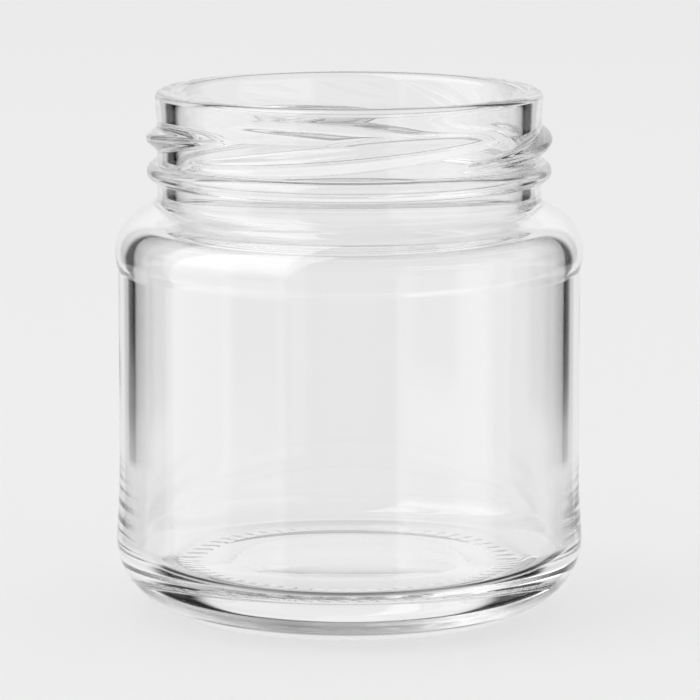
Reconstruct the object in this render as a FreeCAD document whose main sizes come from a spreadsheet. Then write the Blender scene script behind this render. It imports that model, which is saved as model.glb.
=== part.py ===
import FreeCAD, Part

import math
import os

import Sketcher

# Empty round glass jar with a twist-off finish, in millimetres.
# +Z is up, the jar's axis is Z, and z = 0 is the surface that it stands on.
# The lugs sit on +X, +Y, -X and -Y.

DIMENSIONS = [
    ("jar_height", 81.8, "standing surface to the crown of the lip"),
    ("panel_radius", 35.93, "outer radius of the label panel"),
    ("neck_radius", 29.78, "outer radius of the neck"),
    ("body_wall", 2.5, "glass thickness at the label panel"),
    ("neck_wall", 2.93, "glass thickness at the neck"),
    ("land_inset", 11.08, "label panel's radius to the outer edge of the ring that the jar stands on"),
    ("land_width", 1.9, "width of that flat ring"),
    ("push_up", 0.9, "rise of the underside inside the ring"),
    ("push_up_run", 5.2, "width of the cone that rises from the ring to the level disc"),
    ("foot_arc", 2.5, "radius between the ring and the heel"),
    ("heel_sweep", 21.0, "radius of the long curve under the heel"),
    ("heel_arc", 10.6, "radius of the heel itself"),
    ("heel_height", 11.8, "height of the heel's widest circle"),
    ("heel_proud", 0.5, "how far that circle stands out of the label panel"),
    ("ease_arc", 160.0, "hollow radius between heel and label panel"),
    ("ledge_arc", 2.0, "hollow radius between label panel and shoulder"),
    ("shoulder_arc", 7.0, "radius of the shoulder"),
    ("shoulder_proud", 0.5, "how far the shoulder stands out of the label panel"),
    ("shoulder_slope", 32.0, "degrees between the shoulder's cone and level, inside and outside"),
    ("throat_arc", 1.5, "hollow radius between shoulder and neck"),
    ("neck_drop", 16.28, "crown to the lower end of the straight neck"),
    ("lip_drop", 5.5, "crown to where the lip starts to flare"),
    ("lip_flare", 0.32, "how far the lip flares out of the neck"),
    ("crown_arc", 1.1, "outer radius of the crown"),
    ("mouth_arc", 1.3, "inner radius of the crown"),
    ("floor_height", 7.7, "height of the inside floor"),
    ("floor_arc", 4.4, "inside radius between floor and wall"),
    ("inner_shoulder_arc", 4.5, "inside radius of the shoulder"),
    ("inner_throat_arc", 3.0, "inside radius between shoulder and neck"),
    ("bore_drop", 17.45, "crown to the lower end of the straight bore"),
    ("bead_drop", 12.5, "crown to the middle of the transfer bead"),
    ("bead_reach", 1.66, "how far the bead stands out of the neck"),
    ("bead_arc", 1.5, "radius of the bead's rounded edge"),
    ("bead_root_arc", 0.15, "hollow radius where the bead meets the neck"),
    ("lug_count", 4, "number of lugs"),
    ("lug_drop", 7.6, "crown to a lug's middle"),
    ("lug_reach", 1.74, "how far a lug stands out of the neck at its middle"),
    ("lug_half_span", 49.5, "degrees from a lug's middle to either pointed end"),
    ("lug_end_margin", 4.5, "degrees that a lug runs on inside the wall"),
    ("lug_tilt", 5.0, "degrees that a lug rises to the right, seen from outside"),
    ("lug_crest_arc", 1.0, "radius of a lug's crest"),
    ("lug_flank", 40.0, "degrees between a lug's flank and level"),
    ("lug_root_depth", 0.5, "how deep a lug's section starts inside the wall"),
]

SHEET = "dimensions"
PLANE_ROLE = "XZ_Plane"
AXIS_ROLE = "Z_Axis"
NODE = "jar"
LEAST_CUT = 1.0  # cubic mm that a cut has to take away
SAME_PLACE = 0.001  # mm within which an edge counts as the one looked for


def make_sheet(doc):
    """One row for each driving dimension: name, value, meaning."""
    sheet = doc.addObject("Spreadsheet::Sheet", SHEET)
    for row, (name, value, meaning) in enumerate(DIMENSIONS, start=1):
        sheet.set(f"A{row}", name)
        sheet.set(f"B{row}", str(value))
        sheet.set(f"C{row}", meaning)
        sheet.setAlias(f"B{row}", name)
    doc.recompute()
    return {name: float(sheet.get(name)) for name, _, _ in DIMENSIONS}


def bound(text):
    """Expression text in which every dimension's name points at its cell."""
    for name in sorted((row[0] for row in DIMENSIONS), key=len, reverse=True):
        text = text.replace("{" + name + "}", f"{SHEET}.{name}")
    return text


def polar(centre, radius, degrees):
    """Point on a circle in the sketch's plane."""
    angle = math.radians(degrees)
    return centre[0] + radius * math.cos(angle), centre[1] + radius * math.sin(angle)


def bearing(start, end):
    """Direction from one point to another, in degrees from the sketch's x."""
    return math.degrees(math.atan2(end[1] - start[1], end[0] - start[0]))


def circle_round(first, first_radius, second, second_radius, radius):
    """Centre of the circle that holds two smaller circles, on their left seen from the first."""
    a, b = radius - first_radius, radius - second_radius
    span = math.dist(first, second)
    along = (a * a - b * b + span * span) / (2 * span)
    across = math.sqrt(a * a - along * along)
    ux, uy = (second[0] - first[0]) / span, (second[1] - first[1]) / span
    return first[0] + ux * along - uy * across, first[1] + uy * along + ux * across


def circle_beside(line_x, circle, circle_radius, radius, up):
    """Centre of the circle to the right of a plumb line that touches it and a given circle."""
    x = line_x + radius
    rise = math.sqrt((circle_radius + radius) ** 2 - (x - circle[0]) ** 2)
    return x, circle[1] + (rise if up else -rise)


class Outline:
    """Closed sketch outline, drawn as a chain in which each piece starts where the last ended."""

    def __init__(self, body, name, plane):
        self.sketch = body.newObject("Sketcher::SketchObject", name)
        self.sketch.AttachmentSupport = [(plane, "")]
        self.sketch.MapMode = "FlatFace"
        self.ends = []

    def line(self, start, end):
        first = FreeCAD.Vector(start[0], start[1], 0)
        last = FreeCAD.Vector(end[0], end[1], 0)
        piece = self.sketch.addGeometry(Part.LineSegment(first, last), False)
        self.ends.append((piece, 1, 2))
        return piece

    def arc(self, centre, radius, start, end):
        """Arc from one bearing to another, in degrees; it runs clockwise when the end is lower."""
        circle = Part.Circle(FreeCAD.Vector(centre[0], centre[1], 0), FreeCAD.Vector(0, 0, 1), radius)
        low, high = math.radians(min(start, end)), math.radians(max(start, end))
        piece = self.sketch.addGeometry(Part.ArcOfCircle(circle, low, high), False)
        self.ends.append((piece, 1, 2) if start < end else (piece, 2, 1))
        return piece

    def join(self, corners):
        """Joins each piece to the next: smoothly, except after the pieces named as corners."""
        for (piece, _, tail), (following, head, _) in zip(self.ends, self.ends[1:] + self.ends[:1]):
            kind = "Coincident" if piece in corners else "Tangent"
            self.sketch.addConstraint(Sketcher.Constraint(kind, piece, tail, following, head))

    def fix(self, kind, *places):
        self.sketch.addConstraint(Sketcher.Constraint(kind, *places))

    def size(self, kind, formula, value, *places):
        """Dimension constraint whose value is bound to the sheet."""
        number = self.sketch.addConstraint(Sketcher.Constraint(kind, *places, value))
        self.sketch.setExpression(f"Constraints[{number}]", bound(formula))

    def radius(self, piece, formula, value):
        self.size("Radius", formula, value, piece)

    def across(self, formula, value, piece, point):
        """Distance of a point from the upright axis."""
        self.size("DistanceX", formula, value, -1, 1, piece, point)

    def above(self, formula, value, piece, point):
        """Height of a point above the origin."""
        self.size("DistanceY", formula, value, -1, 1, piece, point)


def neck_bend(neck_x, neck_foot, throat_arc, shoulder_x, shoulder_arc, slope):
    """Throat arc, cone and shoulder arc that lead from the foot of a plumb neck to the body.

    Gives both arcs' centres and the cone's two ends.
    """
    throat = (neck_x + throat_arc, neck_foot)
    cone_top = polar(throat, throat_arc, 270 - slope)
    cone_foot_x = shoulder_x + shoulder_arc * math.sin(math.radians(slope))
    cone_foot_y = cone_top[1] - (cone_foot_x - cone_top[0]) * math.tan(math.radians(slope))
    shoulder = (shoulder_x, cone_foot_y - shoulder_arc * math.cos(math.radians(slope)))
    return throat, cone_top, (cone_foot_x, cone_foot_y), shoulder


def draw_blank(body, plane, d):
    """Outside of the jar without bead and lugs, from the foot up to the crown."""
    panel_x, neck_x = d["panel_radius"], d["neck_radius"]
    foot = (panel_x - d["land_inset"], d["foot_arc"])
    heel = (panel_x + d["heel_proud"] - d["heel_arc"], d["heel_height"])
    sweep = circle_round(foot, d["foot_arc"], heel, d["heel_arc"], d["heel_sweep"])
    ease = circle_beside(panel_x, heel, d["heel_arc"], d["ease_arc"], True)
    slope = d["shoulder_slope"]
    throat, cone_top, cone_foot, shoulder = neck_bend(
        neck_x, d["jar_height"] - d["neck_drop"], d["throat_arc"],
        panel_x + d["shoulder_proud"] - d["shoulder_arc"], d["shoulder_arc"], slope)
    ledge = circle_beside(panel_x, shoulder, d["shoulder_arc"], d["ledge_arc"], False)
    crown = (neck_x + d["lip_flare"] - d["crown_arc"], d["jar_height"] - d["crown_arc"])
    lip_foot = (neck_x, d["jar_height"] - d["lip_drop"])
    crown_turn = math.degrees(math.asin(d["crown_arc"] / math.dist(lip_foot, crown)))
    flare = bearing(lip_foot, crown) - crown_turn - 90

    out = Outline(body, "blank_outline", plane)
    base = out.line((0, 0), (foot[0], 0))
    foot_piece = out.arc(foot, d["foot_arc"], -90, bearing(sweep, foot))
    sweep_piece = out.arc(sweep, d["heel_sweep"], bearing(sweep, foot), bearing(sweep, heel))
    heel_piece = out.arc(heel, d["heel_arc"], bearing(sweep, heel), bearing(heel, ease))
    ease_piece = out.arc(ease, d["ease_arc"], bearing(heel, ease) + 180, 180)
    panel = out.line((panel_x, ease[1]), (panel_x, ledge[1]))
    ledge_piece = out.arc(ledge, d["ledge_arc"], 180, bearing(ledge, shoulder))
    shoulder_piece = out.arc(shoulder, d["shoulder_arc"], bearing(shoulder, ledge), 90 - slope)
    cone = out.line(cone_foot, cone_top)
    throat_piece = out.arc(throat, d["throat_arc"], 270 - slope, 180)
    neck = out.line((neck_x, throat[1]), lip_foot)
    out.line(lip_foot, polar(crown, d["crown_arc"], flare))
    crown_piece = out.arc(crown, d["crown_arc"], flare, 90)
    top = out.line((crown[0], d["jar_height"]), (0, d["jar_height"]))
    axis = out.line((0, d["jar_height"]), (0, 0))

    out.join(corners=(neck, top, axis))
    out.fix("Coincident", base, 1, -1, 1)
    out.fix("PointOnObject", axis, 1, -2)
    for piece in (base, top):
        out.fix("Horizontal", piece)
    for piece in (panel, neck):
        out.fix("Vertical", piece)
    out.radius(foot_piece, "{foot_arc}", d["foot_arc"])
    out.radius(sweep_piece, "{heel_sweep}", d["heel_sweep"])
    out.radius(heel_piece, "{heel_arc}", d["heel_arc"])
    out.radius(ease_piece, "{ease_arc}", d["ease_arc"])
    out.radius(ledge_piece, "{ledge_arc}", d["ledge_arc"])
    out.radius(shoulder_piece, "{shoulder_arc}", d["shoulder_arc"])
    out.radius(throat_piece, "{throat_arc}", d["throat_arc"])
    out.radius(crown_piece, "{crown_arc}", d["crown_arc"])
    out.across("{panel_radius} - {land_inset}", foot[0], base, 2)
    out.across("{panel_radius} + {heel_proud} - {heel_arc}", heel[0], heel_piece, 3)
    out.above("{heel_height}", heel[1], heel_piece, 3)
    out.across("{panel_radius}", panel_x, panel, 1)
    out.across("{panel_radius} + {shoulder_proud} - {shoulder_arc}", shoulder[0], shoulder_piece, 3)
    out.across("{neck_radius}", neck_x, neck, 1)
    out.above("{jar_height} - {neck_drop}", throat[1], neck, 1)
    out.above("{jar_height} - {lip_drop}", lip_foot[1], neck, 2)
    out.across("{neck_radius} + {lip_flare} - {crown_arc}", crown[0], crown_piece, 3)
    out.above("{jar_height}", d["jar_height"], top, 2)
    out.size("Angle", "180 deg - {shoulder_slope} * 1 deg", math.radians(180 - slope), cone)
    return out.sketch


def draw_cavity(body, plane, d):
    """Inside of the jar, from the floor up to the mouth."""
    wall_x = d["panel_radius"] - d["body_wall"]
    bore_x = d["neck_radius"] - d["neck_wall"]
    slope = d["shoulder_slope"]
    floor = (wall_x - d["floor_arc"], d["floor_height"] + d["floor_arc"])
    throat, cone_top, cone_foot, shoulder = neck_bend(
        bore_x, d["jar_height"] - d["bore_drop"], d["inner_throat_arc"],
        wall_x - d["inner_shoulder_arc"], d["inner_shoulder_arc"], slope)
    mouth = (bore_x + d["mouth_arc"], d["jar_height"] - d["mouth_arc"])

    out = Outline(body, "cavity_outline", plane)
    base = out.line((0, d["floor_height"]), (floor[0], d["floor_height"]))
    floor_piece = out.arc(floor, d["floor_arc"], -90, 0)
    wall = out.line((wall_x, floor[1]), (wall_x, shoulder[1]))
    shoulder_piece = out.arc(shoulder, d["inner_shoulder_arc"], 0, 90 - slope)
    cone = out.line(cone_foot, cone_top)
    throat_piece = out.arc(throat, d["inner_throat_arc"], 270 - slope, 180)
    bore = out.line((bore_x, throat[1]), (bore_x, mouth[1]))
    mouth_piece = out.arc(mouth, d["mouth_arc"], 180, 90)
    top = out.line((mouth[0], d["jar_height"]), (0, d["jar_height"]))
    axis = out.line((0, d["jar_height"]), (0, d["floor_height"]))

    out.join(corners=(mouth_piece, top, axis))
    out.fix("PointOnObject", axis, 1, -2)
    out.fix("PointOnObject", axis, 2, -2)
    out.fix("Vertical", mouth_piece, 3, top, 1)
    for piece in (base, top):
        out.fix("Horizontal", piece)
    for piece in (wall, bore):
        out.fix("Vertical", piece)
    out.radius(floor_piece, "{floor_arc}", d["floor_arc"])
    out.radius(shoulder_piece, "{inner_shoulder_arc}", d["inner_shoulder_arc"])
    out.radius(throat_piece, "{inner_throat_arc}", d["inner_throat_arc"])
    out.above("{floor_height}", d["floor_height"], base, 1)
    out.across("{panel_radius} - {body_wall}", wall_x, wall, 1)
    out.across("{neck_radius} - {neck_wall}", bore_x, bore, 1)
    out.above("{jar_height} - {bore_drop}", throat[1], bore, 1)
    out.across("{neck_radius} - {neck_wall} + {mouth_arc}", mouth[0], mouth_piece, 3)
    out.above("{jar_height} - {mouth_arc}", mouth[1], mouth_piece, 3)
    out.size("Angle", "180 deg - {shoulder_slope} * 1 deg", math.radians(180 - slope), cone)
    return out.sketch


def draw_push_up(body, plane, d):
    """Shallow recess in the underside, inside the ring that the jar stands on."""
    rim_x = d["panel_radius"] - d["land_inset"] - d["land_width"]
    disc_x = rim_x - d["push_up_run"]
    out = Outline(body, "push_up_outline", plane)
    top = out.line((0, d["push_up"]), (disc_x, d["push_up"]))
    side = out.line((disc_x, d["push_up"]), (rim_x, 0))
    base = out.line((rim_x, 0), (0, 0))
    axis = out.line((0, 0), (0, d["push_up"]))
    out.join(corners=(top, side, base, axis))
    out.fix("Coincident", axis, 1, -1, 1)
    out.fix("Vertical", axis)
    out.fix("Horizontal", top)
    out.fix("Horizontal", base)
    out.above("{push_up}", d["push_up"], axis, 2)
    out.across("{panel_radius} - {land_inset} - {land_width} - {push_up_run}", disc_x, top, 2)
    out.across("{panel_radius} - {land_inset} - {land_width}", rim_x, side, 2)
    return out.sketch


def draw_bead(body, plane, d):
    """Round-edged section of the ring under the lugs, rooted in the middle of the neck's wall."""
    root_x = d["neck_radius"] - d["neck_wall"] / 2
    middle = (d["neck_radius"] + d["bead_reach"] - d["bead_arc"], d["jar_height"] - d["bead_drop"])
    low, high = middle[1] - d["bead_arc"], middle[1] + d["bead_arc"]
    out = Outline(body, "bead_outline", plane)
    under = out.line((root_x, low), (middle[0], low))
    round_piece = out.arc(middle, d["bead_arc"], -90, 90)
    over = out.line((middle[0], high), (root_x, high))
    back = out.line((root_x, high), (root_x, low))
    out.join(corners=(over, back))
    out.fix("Horizontal", under)
    out.fix("Horizontal", over)
    out.fix("Vertical", back)
    out.radius(round_piece, "{bead_arc}", d["bead_arc"])
    out.across("{neck_radius} + {bead_reach} - {bead_arc}", middle[0], round_piece, 3)
    out.above("{jar_height} - {bead_drop}", middle[1], round_piece, 3)
    out.across("{neck_radius} - {neck_wall} / 2", root_x, back, 1)
    return out.sketch


LUG_CREST = "({neck_radius} + {lug_reach})"
LUG_SHIFT = (
    f"(({LUG_CREST}^2 - {{neck_radius}}^2)"
    f" / (2 * ({LUG_CREST} - {{neck_radius}} * cos({{lug_half_span}} * 1 deg))))"
)
LUG_END = "({lug_half_span} + {lug_end_margin})"
LUG_TURN = (
    f"2 * ({LUG_END} * 1 deg"
    f" + asin({LUG_SHIFT} * sin({LUG_END} * 1 deg) / ({LUG_CREST} - {LUG_SHIFT})))"
)


def draw_lug(body, plane, d):
    """Ridge section of a lug, drawn from an axis that is shifted towards the lug and tilted.

    The shift makes the crest sink into the neck at the half span on both sides, so the
    ridge runs out in two points. The tilt gives the slope that the cap's lugs climb.
    """
    crest = d["neck_radius"] + d["lug_reach"]
    half_span = math.radians(d["lug_half_span"])
    shift = (crest ** 2 - d["neck_radius"] ** 2) / (2 * (crest - d["neck_radius"] * math.cos(half_span)))
    centre = (crest - shift - d["lug_crest_arc"], 0)
    root_x = d["neck_radius"] - shift - d["lug_root_depth"]
    flank = math.radians(d["lug_flank"])
    upper = polar(centre, d["lug_crest_arc"], 90 - d["lug_flank"])
    spread = upper[1] + (upper[0] - root_x) * math.tan(flank)

    out = Outline(body, "lug_outline", plane)
    low_flank = out.line((root_x, -spread), (upper[0], -upper[1]))
    crest_piece = out.arc(centre, d["lug_crest_arc"], d["lug_flank"] - 90, 90 - d["lug_flank"])
    high_flank = out.line(upper, (root_x, spread))
    root = out.line((root_x, spread), (root_x, -spread))
    out.join(corners=(high_flank, root))
    out.fix("Vertical", root)
    out.radius(crest_piece, "{lug_crest_arc}", d["lug_crest_arc"])
    out.fix("PointOnObject", crest_piece, 3, -1)
    out.across(f"{LUG_CREST} - {LUG_SHIFT} - {{lug_crest_arc}}", centre[0], crest_piece, 3)
    out.across(f"{{neck_radius}} - {LUG_SHIFT} - {{lug_root_depth}}", root_x, root, 1)
    out.size("Angle", "{lug_flank} * 1 deg", flank, low_flank)
    out.size("Angle", "180 deg - {lug_flank} * 1 deg", math.pi - flank, high_flank)

    tilt = FreeCAD.Rotation(FreeCAD.Vector(1, 0, 0), d["lug_tilt"])
    middle = FreeCAD.Vector(shift, d["jar_height"] - d["lug_drop"], 0)
    out.sketch.AttachmentOffset = FreeCAD.Placement(middle, tilt)
    out.sketch.setExpression("AttachmentOffset.Base.x", bound(LUG_SHIFT))
    out.sketch.setExpression("AttachmentOffset.Base.y", bound("{jar_height} - {lug_drop}"))
    out.sketch.setExpression("AttachmentOffset.Rotation.Angle", bound("{lug_tilt} * 1 deg"))
    return out.sketch


def turn(body, kind, name, sketch, doc):
    """Full turn of a sketch about its own upright axis, added or cut."""
    feature = body.newObject(kind, name)
    feature.Profile = sketch
    feature.ReferenceAxis = (sketch, ["V_Axis"])
    feature.Angle = 360
    doc.recompute()
    return feature


def cut(body, name, sketch, doc):
    """Turned cut, which has to take glass away."""
    before = body.Shape.Volume
    feature = turn(body, "PartDesign::Groove", name, sketch, doc)
    if body.Shape.Volume > before - LEAST_CUT:
        raise RuntimeError(f"{name} cuts nothing")
    return feature


def add_lugs(body, sketch, axis, doc):
    """One lug, repeated round the neck."""
    lug = body.newObject("PartDesign::Revolution", "lug")
    lug.Profile = sketch
    lug.ReferenceAxis = (sketch, ["V_Axis"])
    lug.Midplane = True
    lug.setExpression("Angle", bound(LUG_TURN))
    doc.recompute()
    lugs = body.newObject("PartDesign::PolarPattern", "lugs")
    lugs.Originals = [lug]
    lugs.Axis = (axis, [""])
    lugs.Angle = 360
    lugs.setExpression("Occurrences", bound("{lug_count}"))
    body.Tip = lugs
    doc.recompute()
    return lugs


def soften_bead_roots(body, base, d, doc):
    """Hollow radius along the two circles where the bead leaves the neck."""
    middle = d["jar_height"] - d["bead_drop"]
    names = []
    for number, edge in enumerate(base.Shape.Edges, start=1):
        curve = edge.Curve
        if not isinstance(curve, Part.Circle) or abs(curve.Radius - d["neck_radius"]) > SAME_PLACE:
            continue
        if abs(abs(curve.Center.z - middle) - d["bead_arc"]) < SAME_PLACE:
            names.append(f"Edge{number}")
    fillet = body.newObject("PartDesign::Fillet", "bead_roots")
    fillet.Base = (base, names)
    fillet.setExpression("Radius", bound("{bead_root_arc}"))
    doc.recompute()
    return fillet


def origin_feature(body, role):
    return next(item for item in body.Origin.OriginFeatures if item.Role == role)


def build_jar(doc, d):
    body = doc.addObject("PartDesign::Body", NODE)
    body.Label = NODE
    plane = origin_feature(body, PLANE_ROLE)
    axis = origin_feature(body, AXIS_ROLE)
    turn(body, "PartDesign::Revolution", "blank", draw_blank(body, plane, d), doc)
    bead = turn(body, "PartDesign::Revolution", "bead", draw_bead(body, plane, d), doc)
    soften_bead_roots(body, bead, d, doc)
    add_lugs(body, draw_lug(body, plane, d), axis, doc)
    cut(body, "cavity", draw_cavity(body, plane, d), doc)
    cut(body, "push_up", draw_push_up(body, plane, d), doc)
    body.Placement = FreeCAD.Placement()
    return body


def check(doc, body):
    """Stops on any failed object and on a jar that isn't one sound solid."""
    doc.recompute()
    for item in doc.Objects:
        if "Invalid" in item.State or "Error" in item.State:
            raise RuntimeError(f"{item.Label}: {item.State}")
        if item.TypeId == "Sketcher::SketchObject" and item.solve() != 0:
            raise RuntimeError(f"{item.Label} doesn't solve")
    shape = body.Shape
    if shape.isNull() or not shape.isValid() or len(shape.Solids) != 1:
        raise RuntimeError(f"{body.Label} isn't one valid solid")
    print(body.Label, "volume", round(shape.Volume / 1000, 2), "cm3", shape.BoundBox)


def main():
    doc = FreeCAD.newDocument("jar_document")
    d = make_sheet(doc)
    body = build_jar(doc, d)
    check(doc, body)
    os.makedirs("parts", exist_ok=True)
    body.Shape.exportStep(f"parts/{body.Label}.step")


main()
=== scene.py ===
"""Looks of an empty round glass jar with a twist-off finish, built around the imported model."""

import math

import bpy
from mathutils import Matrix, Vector


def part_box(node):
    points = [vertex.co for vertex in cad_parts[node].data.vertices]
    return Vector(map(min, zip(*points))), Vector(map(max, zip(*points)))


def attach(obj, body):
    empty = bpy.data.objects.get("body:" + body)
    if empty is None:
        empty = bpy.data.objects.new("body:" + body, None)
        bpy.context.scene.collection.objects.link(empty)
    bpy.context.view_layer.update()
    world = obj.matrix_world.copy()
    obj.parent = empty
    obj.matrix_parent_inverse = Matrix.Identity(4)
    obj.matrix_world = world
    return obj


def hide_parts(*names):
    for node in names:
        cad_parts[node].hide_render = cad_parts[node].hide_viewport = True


MM = 0.001
NODE = "jar"

# Jar, in millimetres and degrees, as the CAD model has it, but for the floor's slight dome and the
# marks pressed into the underside, which are only here.
PANEL_RADIUS = 35.93
NECK_RADIUS = 29.78
BODY_WALL = 2.5
NECK_WALL = 2.93
LAND_OUTER = 24.85
LAND_INNER = 22.95
PUSH_UP = 0.9
PUSH_UP_RUN = 5.2
PUSH_UP_ARC = 6.0
LAND_ARC = 1.2
FOOT_ARC = 2.5
HEEL_SWEEP = 21.0
HEEL_ARC = 10.6
HEEL_HEIGHT = 11.8
HEEL_PROUD = 0.5
EASE_ARC = 160.0
LEDGE_ARC = 2.0
SHOULDER_ARC = 7.0
SHOULDER_PROUD = 0.5
SHOULDER_SLOPE = 32.0
THROAT_ARC = 1.5
NECK_DROP = 16.28
LIP_DROP = 5.5
LIP_FLARE = 0.32
CROWN_ARC = 1.1
MOUTH_ARC = 1.3
FLOOR_HEIGHT = 7.7
FLOOR_ARC = 4.4
FLOOR_DOME = 1.3
INNER_SHOULDER_ARC = 4.5
INNER_THROAT_ARC = 3.0
BORE_DROP = 17.45
BEAD_DROP = 12.5
BEAD_REACH = 1.66
BEAD_ARC = 1.5
BEAD_ROOT_ARC = 0.15
LUG_COUNT = 4
LUG_DROP = 7.6
LUG_REACH = 1.74
LUG_HALF_SPAN = 49.5
LUG_TILT = 5.0
LUG_CREST_ARC = 1.0
LUG_FLANK = 40.0
LUG_ROOT_BLEND = 0.45
KNURL_INNER = 24.2
KNURL_OUTER = 26.6
KNURL_TOP = 2.0
KNURL_MARKS = 60
KNURL_DEPTH = 0.4

# Mesh fineness: steps round the jar, height of the rows that carry the lugs, distance of the extra rows
# that keep straight runs straight, rows of the flared lip, and rings of the flat underside and of the
# floor, as shares of their radius.
TURN_STEPS = 360
LUG_ROW = 0.11
SUPPORT = 0.15
FLARE_ROWS = 6
DISC_RINGS = (0.35, 0.75)
FLOOR_RINGS = (0.98, 0.92, 0.84, 0.75, 0.66, 0.5, 0.33, 0.15)

# Points nearer to each other than this are one and the same.
SAME_POINT = 1e-4

# Lugs are raised only out of the outer skin, in rows at least this far above the bead's middle.
LUG_CLEAR = 1.0

# Degrees between the points of each arc.
STEP = {
    "underside": 6, "foot": 7, "sweep": 1, "heel": 4, "ease": 2, "ledge": 4, "shoulder": 4, "throat": 8,
    "bead_root": 30, "bead": 6, "crown": 8, "inside": 5,
}


def polar(centre, radius, degrees):
    angle = math.radians(degrees)
    return centre[0] + radius * math.cos(angle), centre[1] + radius * math.sin(angle)


def bearing(start, end):
    return math.degrees(math.atan2(end[1] - start[1], end[0] - start[0]))


def arc(centre, radius, start, end, step):
    """Points along an arc, both ends included, about step degrees apart."""
    count = max(2, math.ceil(abs(end - start) / step))
    return [polar(centre, radius, start + (end - start) * i / count) for i in range(count + 1)]


def run(start, end):
    """Points just inside both ends of a straight run, so that its shading stays straight."""
    length = math.dist(start, end)
    share = SUPPORT / length
    ends = (share, 1 - share)
    return [tuple(a + (b - a) * t for a, b in zip(start, end)) for t in ends]


def circle_round(first, first_radius, second, second_radius, radius):
    """Middle of a circle that touches two smaller ones and holds both inside it."""
    a, b = radius - first_radius, radius - second_radius
    span = math.dist(first, second)
    along = (a * a - b * b + span * span) / (2 * span)
    across = math.sqrt(a * a - along * along)
    ux, uy = (second[0] - first[0]) / span, (second[1] - first[1]) / span
    return first[0] + ux * along - uy * across, first[1] + uy * along + ux * across


def circle_beside(line_x, circle, circle_radius, radius, up):
    """Middle of a circle that touches an upright line and a circle, above or below that circle."""
    x = line_x + radius
    rise = math.sqrt((circle_radius + radius) ** 2 - (x - circle[0]) ** 2)
    return x, circle[1] + (rise if up else -rise)


def neck_bend(neck_x, neck_foot, throat_arc, shoulder_x, shoulder_arc, slope):
    """Throat's middle, both ends of the slope under it, and the shoulder arc's middle."""
    throat = (neck_x + throat_arc, neck_foot)
    cone_top = polar(throat, throat_arc, 270 - slope)
    cone_foot_x = shoulder_x + shoulder_arc * math.sin(math.radians(slope))
    cone_foot_y = cone_top[1] - (cone_foot_x - cone_top[0]) * math.tan(math.radians(slope))
    shoulder = (shoulder_x, cone_foot_y - shoulder_arc * math.cos(math.radians(slope)))
    return throat, cone_top, (cone_foot_x, cone_foot_y), shoulder


def rounded(before, corner, after, radius, step):
    """Arc that rounds a corner between two straight runs."""
    to_before, to_after = bearing(corner, before), bearing(corner, after)
    opening = (to_after - to_before + 180) % 360 - 180
    half = math.radians(abs(opening) / 2)
    middle = polar(corner, radius / math.sin(half), to_before + opening / 2)
    cut = radius / math.tan(half)
    start = bearing(middle, polar(corner, cut, to_before))
    end = bearing(middle, polar(corner, cut, to_after))
    sweep = (end - start + 180) % 360 - 180
    return arc(middle, radius, start, start + sweep, step)


def joined(*stretches):
    """One list of points from stretches that meet, without the repeated ones."""
    points = []
    for stretch in stretches:
        for point in stretch:
            if not points or math.dist(points[-1], point) > SAME_POINT:
                points.append(point)
    return points


def underside():
    """From the axis out to the ring that the jar stands on."""
    disc = LAND_INNER - PUSH_UP_RUN
    centre, rim = (0, PUSH_UP), (LAND_INNER, 0)
    corner = (disc, PUSH_UP)
    inner = rounded(centre, corner, rim, PUSH_UP_ARC, STEP["underside"])
    outer = rounded(corner, rim, (LAND_OUTER, 0), LAND_ARC, STEP["underside"])
    flat = [(share * disc, PUSH_UP) for share in DISC_RINGS]
    return joined(flat, inner, run(inner[-1], outer[0]), outer)


def outside(height):
    """From the ring up to the foot of the neck."""
    foot = (LAND_OUTER, FOOT_ARC)
    heel = (PANEL_RADIUS + HEEL_PROUD - HEEL_ARC, HEEL_HEIGHT)
    sweep = circle_round(foot, FOOT_ARC, heel, HEEL_ARC, HEEL_SWEEP)
    ease = circle_beside(PANEL_RADIUS, heel, HEEL_ARC, EASE_ARC, True)
    throat, cone_top, cone_foot, shoulder = neck_bend(
        NECK_RADIUS, height - NECK_DROP, THROAT_ARC,
        PANEL_RADIUS + SHOULDER_PROUD - SHOULDER_ARC, SHOULDER_ARC, SHOULDER_SLOPE)
    ledge = circle_beside(PANEL_RADIUS, shoulder, SHOULDER_ARC, LEDGE_ARC, False)
    panel_low, panel_high = (PANEL_RADIUS, ease[1]), (PANEL_RADIUS, ledge[1])
    return joined(
        arc(foot, FOOT_ARC, -90, bearing(sweep, foot), STEP["foot"]),
        arc(sweep, HEEL_SWEEP, bearing(sweep, foot), bearing(sweep, heel), STEP["sweep"]),
        arc(heel, HEEL_ARC, bearing(sweep, heel), bearing(heel, ease), STEP["heel"]),
        arc(ease, EASE_ARC, bearing(heel, ease) + 180, 180, STEP["ease"]),
        run(panel_low, panel_high),
        arc(ledge, LEDGE_ARC, 180, bearing(ledge, shoulder), STEP["ledge"]),
        arc(shoulder, SHOULDER_ARC, bearing(shoulder, ledge), 90 - SHOULDER_SLOPE, STEP["shoulder"]),
        run(cone_foot, cone_top),
        arc(throat, THROAT_ARC, 270 - SHOULDER_SLOPE, 180, STEP["throat"]))


def bead(height):
    """Round-edged ring under the lugs, with small hollow roots."""
    middle = height - BEAD_DROP
    rise = BEAD_ARC + BEAD_ROOT_ARC
    root = NECK_RADIUS + BEAD_ROOT_ARC
    edge = (NECK_RADIUS + BEAD_REACH - BEAD_ARC, middle)
    return joined(
        arc((root, middle - rise), BEAD_ROOT_ARC, 180, 90, STEP["bead_root"]),
        arc(edge, BEAD_ARC, -90, 90, STEP["bead"]),
        arc((root, middle + rise), BEAD_ROOT_ARC, 270, 180, STEP["bead_root"]))


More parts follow.
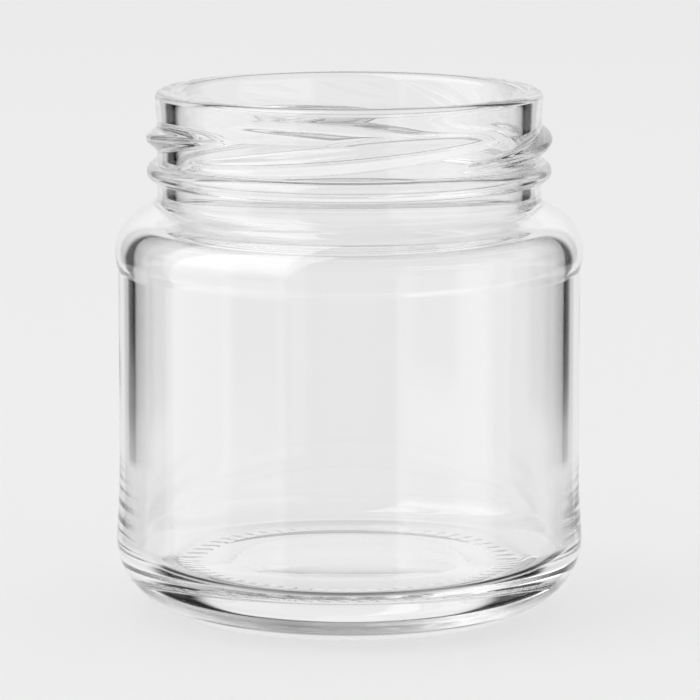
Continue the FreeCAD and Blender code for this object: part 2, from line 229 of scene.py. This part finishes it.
def finish_rows(height):
    """Straight neck behind the lugs, in close rows, and the flared lip above it."""
    start = height - BEAD_DROP + BEAD_ARC + BEAD_ROOT_ARC
    lip_foot = (NECK_RADIUS, height - LIP_DROP)
    crown = (NECK_RADIUS + LIP_FLARE - CROWN_ARC, height - CROWN_ARC)
    mouth = (NECK_RADIUS - NECK_WALL + MOUTH_ARC, height - MOUTH_ARC)
    turn = math.degrees(math.asin(CROWN_ARC / math.dist(lip_foot, crown)))
    flare = bearing(lip_foot, crown) - turn - 90
    lip_top = polar(crown, CROWN_ARC, flare)
    count = round((lip_foot[1] - start) / LUG_ROW)
    neck = [(NECK_RADIUS, start + (lip_foot[1] - start) * i / count) for i in range(1, count)]
    shares = [i / FLARE_ROWS for i in range(FLARE_ROWS)]
    flared = [tuple(a + (b - a) * share for a, b in zip(lip_foot, lip_top)) for share in shares]
    return joined(
        neck, flared, arc(crown, CROWN_ARC, flare, 90, STEP["crown"]),
        [(mouth[0], height)], arc(mouth, MOUTH_ARC, 90, 180, STEP["crown"]))


def inside(height):
    """From the mouth down to the middle of the floor."""
    wall = PANEL_RADIUS - BODY_WALL
    bore = NECK_RADIUS - NECK_WALL
    floor = (wall - FLOOR_ARC, FLOOR_HEIGHT + FLOOR_ARC)
    throat, cone_top, cone_foot, shoulder = neck_bend(
        bore, height - BORE_DROP, INNER_THROAT_ARC,
        wall - INNER_SHOULDER_ARC, INNER_SHOULDER_ARC, SHOULDER_SLOPE)
    return joined(
        run((bore, height - MOUTH_ARC), (bore, throat[1])),
        arc(throat, INNER_THROAT_ARC, 180, 270 - SHOULDER_SLOPE, STEP["inside"]),
        run(cone_top, cone_foot),
        arc(shoulder, INNER_SHOULDER_ARC, 90 - SHOULDER_SLOPE, 0, STEP["inside"]),
        run((wall, shoulder[1]), (wall, floor[1])),
        arc(floor, FLOOR_ARC, 0, -90, STEP["inside"]),
        [(floor[0] * t, FLOOR_HEIGHT + FLOOR_DOME * (1 - t * t)) for t in FLOOR_RINGS])


def smooth_max(a, b, blend):
    """Larger of two values, with a hollow of about the blend's size where they cross."""
    near = max(blend - abs(a - b), 0) / blend
    return max(a, b) + near * near * blend / 4


def lug_radius(z, off, height):
    """How far out one lug's surface is at this height, off degrees round from its middle."""
    off = math.radians(off)
    crest = NECK_RADIUS + LUG_REACH
    half = math.radians(LUG_HALF_SPAN)
    shift = (crest ** 2 - NECK_RADIUS ** 2) / (2 * (crest - NECK_RADIUS * math.cos(half)))
    ridge = shift * math.cos(off) + math.sqrt((crest - shift) ** 2 - (shift * math.sin(off)) ** 2)
    middle = height - LUG_DROP + math.tan(math.radians(LUG_TILT)) * ridge * math.sin(off)
    away = abs(z - middle)
    flank = math.radians(LUG_FLANK)
    turn_off = LUG_CREST_ARC * math.cos(flank)
    if away <= turn_off:
        return ridge - LUG_CREST_ARC + math.sqrt(LUG_CREST_ARC ** 2 - away ** 2)
    start = ridge - LUG_CREST_ARC + LUG_CREST_ARC * math.sin(flank)
    return start - (away - turn_off) / math.tan(flank)


def finish_radius(x, z, turn, height):
    """Neck, lip or bead radius x, raised where one of the two nearest lugs stands out of it."""
    pitch = 360 / LUG_COUNT
    off = turn % pitch
    for one in (off, off - pitch):
        x = smooth_max(x, lug_radius(z, one, height), LUG_ROOT_BLEND)
    return x


def knurl(x, z, turn):
    """How far the underside is pressed in by the radial marks round the ring."""
    if z > KNURL_TOP or not KNURL_INNER < x < KNURL_OUTER:
        return 0.0
    along = (x - KNURL_INNER) / (KNURL_OUTER - KNURL_INNER)
    across = max(math.cos(math.radians(turn * KNURL_MARKS)), 0)
    return KNURL_DEPTH * across * math.sqrt(math.sin(math.pi * along))


def jar_mesh(name, height):
    """Closed turned skin of the glass, inside and outside, with the lugs raised out of the neck."""
    outline = joined(underside(), outside(height), bead(height), finish_rows(height), inside(height))
    lug_low, lug_high = height - BEAD_DROP + LUG_CLEAR, height - CROWN_ARC
    verts = [(0, 0, PUSH_UP * MM)]
    for row, (x, z) in enumerate(outline):
        lugged = lug_low < z < lug_high and x > NECK_RADIUS - CROWN_ARC
        for i in range(TURN_STEPS):
            turn = 360 * i / TURN_STEPS
            radius = finish_radius(x, z, turn, height) if lugged else x
            angle = math.radians(turn)
            rise = (z + knurl(x, z, turn)) * MM
            verts.append((radius * MM * math.cos(angle), radius * MM * math.sin(angle), rise))
    top = len(verts)
    verts.append((0, 0, (FLOOR_HEIGHT + FLOOR_DOME) * MM))
    faces = []
    rows = len(outline)
    for i in range(TURN_STEPS):
        j = (i + 1) % TURN_STEPS
        faces.append((0, 1 + j, 1 + i))
        for row in range(rows - 1):
            low, high = 1 + row * TURN_STEPS, 1 + (row + 1) * TURN_STEPS
            faces.append((low + i, low + j, high + j, high + i))
        last = 1 + (rows - 1) * TURN_STEPS
        faces.append((last + i, last + j, top))
    mesh = bpy.data.meshes.new(name)
    mesh.from_pydata(verts, [], faces)
    mesh.polygons.foreach_set("use_smooth", [True] * len(faces))
    mesh.update()
    return mesh


class Nodes:
    """Short way to write a node tree."""

    def __init__(self, owner):
        owner.use_nodes = True
        self.tree = owner.node_tree
        self.tree.nodes.clear()

    def add(self, kind, inputs=(), **settings):
        node = self.tree.nodes.new(kind)
        for key, value in settings.items():
            setattr(node, key, value)
        for key, value in dict(inputs).items():
            if hasattr(value, "links"):
                self.tree.links.new(value, node.inputs[key])
            else:
                node.inputs[key].default_value = value
        return node

    def math(self, operation, *values):
        return self.add("ShaderNodeMath", dict(enumerate(values)), operation=operation).outputs[0]

    def scaled(self, colour, factor):
        return self.add("ShaderNodeVectorMath", {0: colour, "Scale": factor}, operation="SCALE").outputs[0]

    def ramp(self, value, low, high, bottom=0.0, top=1.0):
        """Smooth step from bottom to top between low and high."""
        settings = {"Value": value, "From Min": low, "From Max": high, "To Min": bottom, "To Max": top}
        node = self.add("ShaderNodeMapRange", settings, interpolation_type="SMOOTHSTEP")
        return node.outputs["Result"]


GLASS_COLOUR = (0.991, 0.991, 0.991, 1)
GLASS_IOR = 1.5
SHADOW_COLOUR = (0.985, 0.985, 0.985, 1)

# Waviness of the glass: how fine it is, its detail, how strong it is, and how deep in metres.
WAVE_SCALE = 55.0
WAVE_DETAIL = 1.0
WAVE_STRENGTH = 0.02
WAVE_DEPTH = 0.002


def glass_material(name):
    """Clear soda-lime glass, very slightly wavy. Shadow rays pass through it with a small loss."""
    material = bpy.data.materials.new(name)
    nodes = Nodes(material)
    place = nodes.add("ShaderNodeTexCoord").outputs["Object"]
    wave = nodes.add("ShaderNodeTexNoise", {"Vector": place, "Scale": WAVE_SCALE, "Detail": WAVE_DETAIL})
    bump = nodes.add("ShaderNodeBump", {
        "Height": wave.outputs[0], "Strength": WAVE_STRENGTH, "Distance": WAVE_DEPTH})
    glass = nodes.add("ShaderNodeBsdfGlass", {
        "Color": GLASS_COLOUR, "Roughness": 0.0, "IOR": GLASS_IOR, "Normal": bump.outputs[0]})
    clear = nodes.add("ShaderNodeBsdfTransparent", {"Color": SHADOW_COLOUR})
    path = nodes.add("ShaderNodeLightPath")
    mix = nodes.add("ShaderNodeMixShader", {
        0: path.outputs["Is Shadow Ray"], 1: glass.outputs[0], 2: clear.outputs[0]})
    nodes.add("ShaderNodeOutputMaterial", {"Surface": mix.outputs[0]})
    return material


def build_jar():
    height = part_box(NODE)[1].z / MM
    jar = bpy.data.objects.new("glass_jar", jar_mesh("glass_jar", height))
    bpy.context.scene.collection.objects.link(jar)
    jar.data.materials.append(glass_material("clear_glass"))
    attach(jar, "root")
    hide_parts(NODE)


# Studio, in metres. Directions are degrees: azimuth counter-clockwise from +X, elevation above the
# horizon. The key lamp is a sun with a wide face.
BACKDROP = (0.828, 0.828, 0.828)
FLOOR_COLOUR = (0.848, 0.848, 0.848)
FLOOR_SIZE = 12.0
FLOOR_GAP = 0.0002
KEY_STRENGTH = 1.35
KEY_ANGLE = 34.0
KEY_DIRECTION = (0.62, 0.30, -1)

# Painted pool of light: the floor's colour is palest round this point and a little darker far from it.
# The distances between which it darkens, and its share of its colour at each.
FLOOR_LIGHT_POOL_MIDDLE = (-0.25, -0.15, 0)
FLOOR_PAINTED_FALLOFF = (0.1, 1.6, 1.0, 0.955)

# Light that the floor gets from all round, and how much more of it comes through the glass.
FILL = 0.66
GLOW = 0.8


def floor_material(name):
    material = bpy.data.materials.new(name)
    nodes = Nodes(material)
    place = nodes.add("ShaderNodeTexCoord").outputs["Object"]
    away = nodes.add("ShaderNodeVectorMath", {0: place, 1: FLOOR_LIGHT_POOL_MIDDLE}, operation="DISTANCE")
    # Painted pool of light: the paper's colour fades a little away from one point.
    shade = nodes.ramp(away.outputs["Value"], *FLOOR_PAINTED_FALLOFF)
    paper = nodes.add("ShaderNodeBsdfDiffuse", {"Color": nodes.scaled(FLOOR_COLOUR, shade)})
    nodes.add("ShaderNodeOutputMaterial", {"Surface": paper.outputs[0]})
    return material


def build_floor():
    mesh = bpy.data.meshes.new("floor")
    half = FLOOR_SIZE / 2
    square = [(-half, -half, 0), (half, -half, 0), (half, half, 0), (-half, half, 0)]
    mesh.from_pydata(square, [], [(0, 1, 2, 3)])
    floor = bpy.data.objects.new("floor", mesh)
    floor.location.z = -FLOOR_GAP
    bpy.context.scene.collection.objects.link(floor)
    floor.data.materials.append(floor_material("pale_paper"))
    floor.visible_transmission = False
    floor.visible_glossy = False


# Dark flags stand in pairs, one on each side of the direction that a view looks along, and draw the
# glass's edges. A pair is that direction, how far off it the outer edges fade out, and the elevations
# between which a flag fades in and fades out. The inner edges and the darkness are the same in all.
FLAG_PAIRS = [
    (90.4, 50.5, 66.5, -11.4, -8.3, 60.0, 80.0),
    (91.4, 76.0, 90.0, -75.0, -50.0, -24.0, -14.0),
    (180.0, 50.5, 66.5, -11.4, -8.3, 22.0, 40.0),
]
FLAG_INNER = (25.5, 33.0)
FLAG_DEPTH = 0.99

# Softboxes, and an opening in the low flags, so that they don't stand straight behind the jar in a view
# from above. Each is its middle azimuth, half width and edge, and the elevations between which it fades
# in and fades out.
CLEAR_WINDOW = (135.0, 18.0, 4.0, -37.0, -32.0, -14.0, -10.0)
KEY_BOX = (204.0, 36.0, 3.0, 16.0, 26.0, 84.0, 88.0)
LOW_KEY_BOX = (204.0, 36.0, 3.0, -2.0, 22.0, 84.0, 88.0)
LEFT_BOX = (203.5, 35.5, 1.5, -40.0, -30.0, 10.0, 30.0)
RIGHT_BOX = (321.5, 26.0, 1.5, -40.0, -30.0, 16.0, 24.0)
KEY_GAIN = 1.6
SIDE_GAIN = 0.8

# Every box shows only in reflections, and all but KEY_BOX only in light that has met the glass fewer
# times than this.
GLINT_DEPTH = 6.5

# Bounces are counted in whole numbers: none is below this, and one or more is above it.
ONE_BOUNCE = 0.5

# Brightness all round by elevation, as elevations of a step and the values below and above it: darker
# towards the jar's own foot, a painted shadow of the jar on the floor as the glass sees it, but pale
# straight down; brighter above the horizon; dark overhead.
PAINTED_FOOT_SHADOW = (-70.0, -36.0, 0.2, 1.0)
STRAIGHT_DOWN = (-84.0, -76.0, 1.0, 0.0)
ROOM = (2.0, 14.0, 1.0, 1.12)
OVERHEAD = (30.0, 44.0, 1.0, 0.35)


def turned(nodes, azimuth, middle):
    """Degrees between an azimuth and a middle one, either way round."""
    return nodes.math("ABSOLUTE", nodes.math("WRAP", nodes.math("SUBTRACT", azimuth, middle), 180.0, -180.0))


def product(nodes, *values):
    result = values[0]
    for value in values[1:]:
        result = nodes.math("MULTIPLY", result, value)
    return result


def flag_pair(nodes, azimuth, elevation, pair):
    """1 on the two flags beside a direction, 0 elsewhere."""
    forward, outer_dark, outer_light, low_light, low_dark, high_dark, high_light = pair
    off = turned(nodes, azimuth, forward)
    return product(
        nodes,
        nodes.ramp(off, *FLAG_INNER), nodes.ramp(off, outer_dark, outer_light, 1.0, 0.0),
        nodes.ramp(elevation, low_light, low_dark), nodes.ramp(elevation, high_dark, high_light, 1.0, 0.0))


def soft_box(nodes, azimuth, elevation, middle, half, edge, low, low_full, high_full, high):
    """1 on a softbox, 0 outside it."""
    off = turned(nodes, azimuth, middle)
    return product(
        nodes,
        nodes.ramp(off, half - edge, half + edge, 1.0, 0.0),
        nodes.ramp(elevation, low, low_full), nodes.ramp(elevation, high_full, high, 1.0, 0.0))


def build_world():
    """Plain backdrop for the camera, plain fill for the floor, and the studio for the glass."""
    world = bpy.data.worlds.new("studio")
    bpy.context.scene.world = world
    nodes = Nodes(world)
    direction = nodes.add("ShaderNodeTexCoord").outputs["Generated"]
    parts = nodes.add("ShaderNodeSeparateXYZ", {0: direction})
    azimuth = nodes.math("DEGREES", nodes.math("ARCTAN2", parts.outputs[1], parts.outputs[0]))
    elevation = nodes.math("DEGREES", nodes.math("ARCSINE", parts.outputs[2]))
    path = nodes.add("ShaderNodeLightPath")
    reflected = nodes.math("GREATER_THAN", path.outputs["Glossy Depth"], ONE_BOUNCE)

    dark = None
    for pair in FLAG_PAIRS:
        this = flag_pair(nodes, azimuth, elevation, pair)
        dark = this if dark is None else nodes.math("MAXIMUM", dark, this)
    clear = soft_box(nodes, azimuth, elevation, *CLEAR_WINDOW)
    dark = nodes.math("MULTIPLY", dark, nodes.math("SUBTRACT", 1.0, clear))
    light = nodes.math("SUBTRACT", 1.0, nodes.math("MULTIPLY", dark, FLAG_DEPTH))
    # Painted shadow of the jar on the floor: darker below the horizon towards the jar's foot, pale straight
    # down.
    under = nodes.math("MAXIMUM", nodes.ramp(elevation, *PAINTED_FOOT_SHADOW), nodes.ramp(elevation, *STRAIGHT_DOWN))
    light = product(nodes, light, under, nodes.ramp(elevation, *ROOM), nodes.ramp(elevation, *OVERHEAD))
    key, low_key, left, right = (
        soft_box(nodes, azimuth, elevation, *box) for box in (KEY_BOX, LOW_KEY_BOX, LEFT_BOX, RIGHT_BOX))
    sides = nodes.math("MULTIPLY", nodes.math("ADD", left, right), SIDE_GAIN)
    glints = nodes.math("MULTIPLY_ADD", low_key, KEY_GAIN, sides)
    light = nodes.math("ADD", light, product(nodes, key, KEY_GAIN, reflected))
    early = nodes.math("LESS_THAN", path.outputs["Ray Depth"], GLINT_DEPTH)
    light = nodes.math("ADD", light, product(nodes, glints, reflected, early))

    seen = nodes.add("ShaderNodeBackground", {"Color": nodes.scaled(BACKDROP, light)})
    back = nodes.add("ShaderNodeBackground", {"Color": (*BACKDROP, 1)})
    direct = nodes.math("LESS_THAN", path.outputs["Diffuse Depth"], ONE_BOUNCE)
    glass = nodes.math("MAXIMUM", path.outputs["Is Glossy Ray"], path.outputs["Is Transmission Ray"])
    through = nodes.math("MULTIPLY", glass, direct)
    glow = nodes.math("MULTIPLY_ADD", nodes.math("SUBTRACT", glass, through), GLOW, 1.0)
    fill = nodes.add("ShaderNodeBackground", {"Color": nodes.scaled((FILL, FILL, FILL), glow)})
    inner = nodes.add("ShaderNodeMixShader", {0: through, 1: fill.outputs[0], 2: seen.outputs[0]})
    outer = nodes.add("ShaderNodeMixShader", {
        0: path.outputs["Is Camera Ray"], 1: inner.outputs[0], 2: back.outputs[0]})
    nodes.add("ShaderNodeOutputWorld", {"Surface": outer.outputs[0]})


def build_key():
    lamp = bpy.data.lights.new("key", "SUN")
    lamp.energy = KEY_STRENGTH
    lamp.angle = math.radians(KEY_ANGLE)
    key = bpy.data.objects.new("key", lamp)
    key.rotation_euler = Vector(KEY_DIRECTION).to_track_quat("-Z", "Y").to_euler()
    key.visible_glossy = False
    key.visible_transmission = False
    bpy.context.scene.collection.objects.link(key)


# Camera: lens and sensor in millimetres, then how far off it stands in metres, how steeply it looks down,
# how far round it stands from the jar's front and how far beside the axis it aims, in degrees, and the
# height that it aims at, in metres.
CAMERA_LENS = 270.6
CAMERA_SENSOR = 36.0
CAMERA_AWAY = 0.812
CAMERA_PITCH = 8.683
CAMERA_TURN = 1.4
CAMERA_ASIDE = 0.0087
AIM_HEIGHT = 0.04097


def build_camera():
    data = bpy.data.cameras.new("camera")
    data.lens = CAMERA_LENS
    data.sensor_width = CAMERA_SENSOR
    camera = bpy.data.objects.new("camera", data)
    turn = math.radians(CAMERA_TURN)
    rise = CAMERA_AWAY * math.tan(math.radians(CAMERA_PITCH)) + AIM_HEIGHT
    camera.location = (CAMERA_AWAY * math.sin(turn), -CAMERA_AWAY * math.cos(turn), rise)
    camera.rotation_euler = (math.radians(90 - CAMERA_PITCH), 0, math.radians(CAMERA_TURN - CAMERA_ASIDE))
    bpy.context.scene.collection.objects.link(camera)
    bpy.context.scene.camera = camera


# Light runs far along a glass wall before it leaves it.
LIGHT_BOUNCES = 40
TRANSPARENT_BOUNCES = 16


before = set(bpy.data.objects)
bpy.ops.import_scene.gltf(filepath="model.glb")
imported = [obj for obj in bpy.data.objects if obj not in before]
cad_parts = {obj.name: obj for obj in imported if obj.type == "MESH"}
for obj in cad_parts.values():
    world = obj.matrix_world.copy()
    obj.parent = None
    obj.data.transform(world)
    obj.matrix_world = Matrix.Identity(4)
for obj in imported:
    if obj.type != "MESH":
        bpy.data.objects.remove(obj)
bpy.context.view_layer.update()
build_camera()
build_jar()
build_floor()
build_world()
build_key()
scene = bpy.context.scene
scene.view_settings.view_transform = "Standard"
scene.cycles.max_bounces = LIGHT_BOUNCES
scene.cycles.transmission_bounces = LIGHT_BOUNCES
scene.cycles.glossy_bounces = LIGHT_BOUNCES
scene.cycles.transparent_max_bounces = TRANSPARENT_BOUNCES
